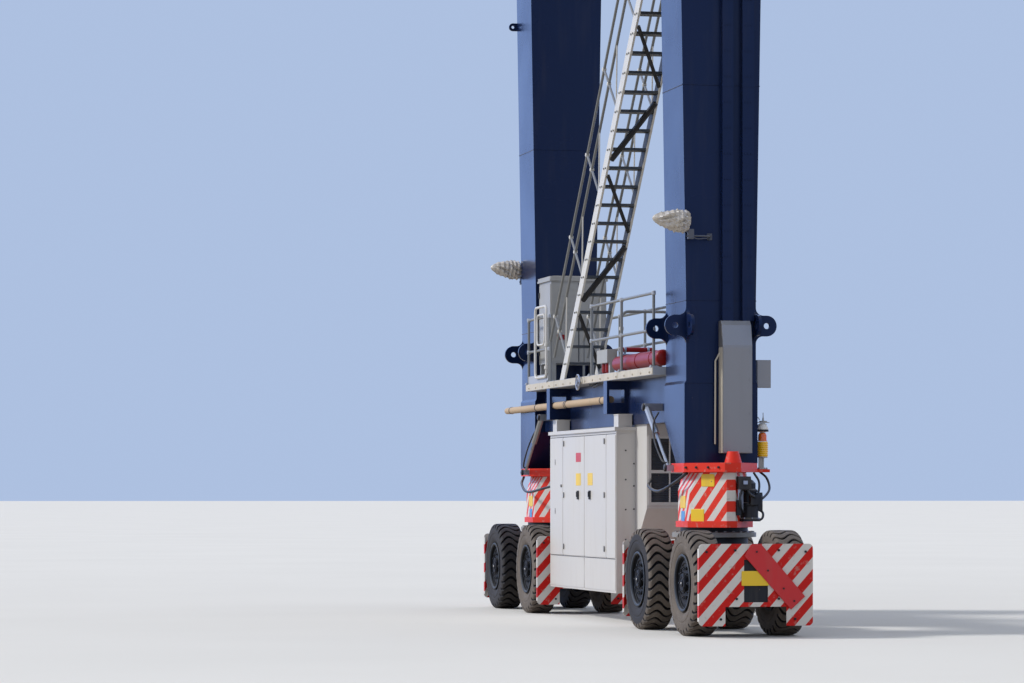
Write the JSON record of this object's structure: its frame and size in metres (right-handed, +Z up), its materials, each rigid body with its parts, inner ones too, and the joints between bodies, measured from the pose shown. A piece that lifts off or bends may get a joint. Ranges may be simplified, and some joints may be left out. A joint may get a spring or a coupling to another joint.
{
  "type": "rubber tyred gantry crane",
  "caption": "Portal crane on slewing rubber tyred bogies, with box legs and girders, a trolley, cab and container spreader.",
  "frame": {"origin": "on the ground in the middle of the crane", "axes": "+X across the lane from side A to side B, +Y along the travel to the rear, +Z up"},
  "size_m": [25.49, 12.84, 25.55],
  "materials": {
    "navy_paint": "gloss",
    "striped_red": "gloss",
    "galvanised_steel": "satin",
    "stainless_sheet": "brushed",
    "beacon_plastic": "gloss",
    "wrapped_lamp": "crumpled",
    "white_paint": "satin",
    "wrapped_pole": "matt",
    "grey_paint": "satin",
    "red_paint": "gloss",
    "rail_steel": "worn",
    "yellow_paint": "gloss",
    "rope_steel": "greased",
    "bogie_paint": "satin",
    "tyre_rubber": "dusty",
    "hub_paint": "satin"
  },
  "bodies": {
    "crane": {"front_a_leg": "navy_paint", "rear_a_leg": "navy_paint", "front_b_leg": "navy_paint", "rear_b_leg": "navy_paint", "sill_beams": "navy_paint", "turrets": "striped_red", "pin_lugs": "navy_paint", "foot_struts": "galvanised_steel", "cable_ducts": "navy_paint", "duct_cover": "stainless_sheet", "beacon_masts": "beacon_plastic", "floodlights": "wrapped_lamp", "power_cabinets": "white_paint", "engine_housings": "white_paint", "platform_decks": "galvanised_steel", "platform_rails": "galvanised_steel", "outrigger_brackets": "navy_paint", "sill_pole": "wrapped_pole", "control_cabinet": "grey_paint", "plug_box": "grey_paint", "red_cylinder": "red_paint", "stair_flight": "galvanised_steel", "stair_rails": "galvanised_steel", "stair_landing": "galvanised_steel", "caged_ladder": "galvanised_steel", "main_girders": "navy_paint", "girder_ties": "navy_paint", "trolley_rails": "rail_steel", "girder_walkways": "galvanised_steel", "trolley_frame": "yellow_paint", "hoist_house": "white_paint", "operator_cab": "white_paint", "spreader": "yellow_paint", "hoist_ropes": "rope_steel"},
    "front_a_steer": {"front_a_bogie": "bogie_paint", "front_a_bumpers": "striped_red"},
    "front_a_axle_1": {"front_a_tyres_1": "tyre_rubber", "front_a_hubs_1": "hub_paint"},
    "front_a_axle_2": {"front_a_tyres_2": "tyre_rubber", "front_a_hubs_2": "hub_paint"},
    "rear_a_steer": {"rear_a_bogie": "bogie_paint", "rear_a_bumpers": "striped_red"},
    "rear_a_axle_1": {"rear_a_tyres_1": "tyre_rubber", "rear_a_hubs_1": "hub_paint"},
    "rear_a_axle_2": {"rear_a_tyres_2": "tyre_rubber", "rear_a_hubs_2": "hub_paint"},
    "front_b_steer": {"front_b_bogie": "bogie_paint", "front_b_bumpers": "striped_red"},
    "front_b_axle_1": {"front_b_tyres_1": "tyre_rubber", "front_b_hubs_1": "hub_paint"},
    "front_b_axle_2": {"front_b_tyres_2": "tyre_rubber", "front_b_hubs_2": "hub_paint"},
    "rear_b_steer": {"rear_b_bogie": "bogie_paint", "rear_b_bumpers": "striped_red"},
    "rear_b_axle_1": {"rear_b_tyres_1": "tyre_rubber", "rear_b_hubs_1": "hub_paint"},
    "rear_b_axle_2": {"rear_b_tyres_2": "tyre_rubber", "rear_b_hubs_2": "hub_paint"}
  },
  "joints": [
    {"name": "front_a_slew", "type": "hinge", "parent": "crane", "child": "front_a_steer", "pos_m": [-11.735, -4.5, 1.4], "axis": [0, 0, 1], "range_deg": [0, 90]},
    {"name": "front_a_roll_1", "type": "hinge", "parent": "front_a_steer", "child": "front_a_axle_1", "pos_m": [-11.735, -5.625, 0.685], "axis": [1, 0, 0], "continuous": true},
    {"name": "front_a_roll_2", "type": "hinge", "parent": "front_a_steer", "child": "front_a_axle_2", "pos_m": [-11.735, -3.375, 0.685], "axis": [1, 0, 0], "continuous": true},
    {"name": "rear_a_slew", "type": "hinge", "parent": "crane", "child": "rear_a_steer", "pos_m": [-11.735, 4.5, 1.4], "axis": [0, 0, 1], "range_deg": [0, 90]},
    {"name": "rear_a_roll_1", "type": "hinge", "parent": "rear_a_steer", "child": "rear_a_axle_1", "pos_m": [-11.735, 5.625, 0.685], "axis": [1, 0, 0], "continuous": true},
    {"name": "rear_a_roll_2", "type": "hinge", "parent": "rear_a_steer", "child": "rear_a_axle_2", "pos_m": [-11.735, 3.375, 0.685], "axis": [1, 0, 0], "continuous": true},
    {"name": "front_b_slew", "type": "hinge", "parent": "crane", "child": "front_b_steer", "pos_m": [11.735, -4.5, 1.4], "axis": [0, 0, 1], "range_deg": [0, 90]},
    {"name": "front_b_roll_1", "type": "hinge", "parent": "front_b_steer", "child": "front_b_axle_1", "pos_m": [11.735, -5.625, 0.685], "axis": [1, 0, 0], "continuous": true},
    {"name": "front_b_roll_2", "type": "hinge", "parent": "front_b_steer", "child": "front_b_axle_2", "pos_m": [11.735, -3.375, 0.685], "axis": [1, 0, 0], "continuous": true},
    {"name": "rear_b_slew", "type": "hinge", "parent": "crane", "child": "rear_b_steer", "pos_m": [11.735, 4.5, 1.4], "axis": [0, 0, 1], "range_deg": [0, 90]},
    {"name": "rear_b_roll_1", "type": "hinge", "parent": "rear_b_steer", "child": "rear_b_axle_1", "pos_m": [11.735, 5.625, 0.685], "axis": [1, 0, 0], "continuous": true},
    {"name": "rear_b_roll_2", "type": "hinge", "parent": "rear_b_steer", "child": "rear_b_axle_2", "pos_m": [11.735, 3.375, 0.685], "axis": [1, 0, 0], "continuous": true}
  ]
}
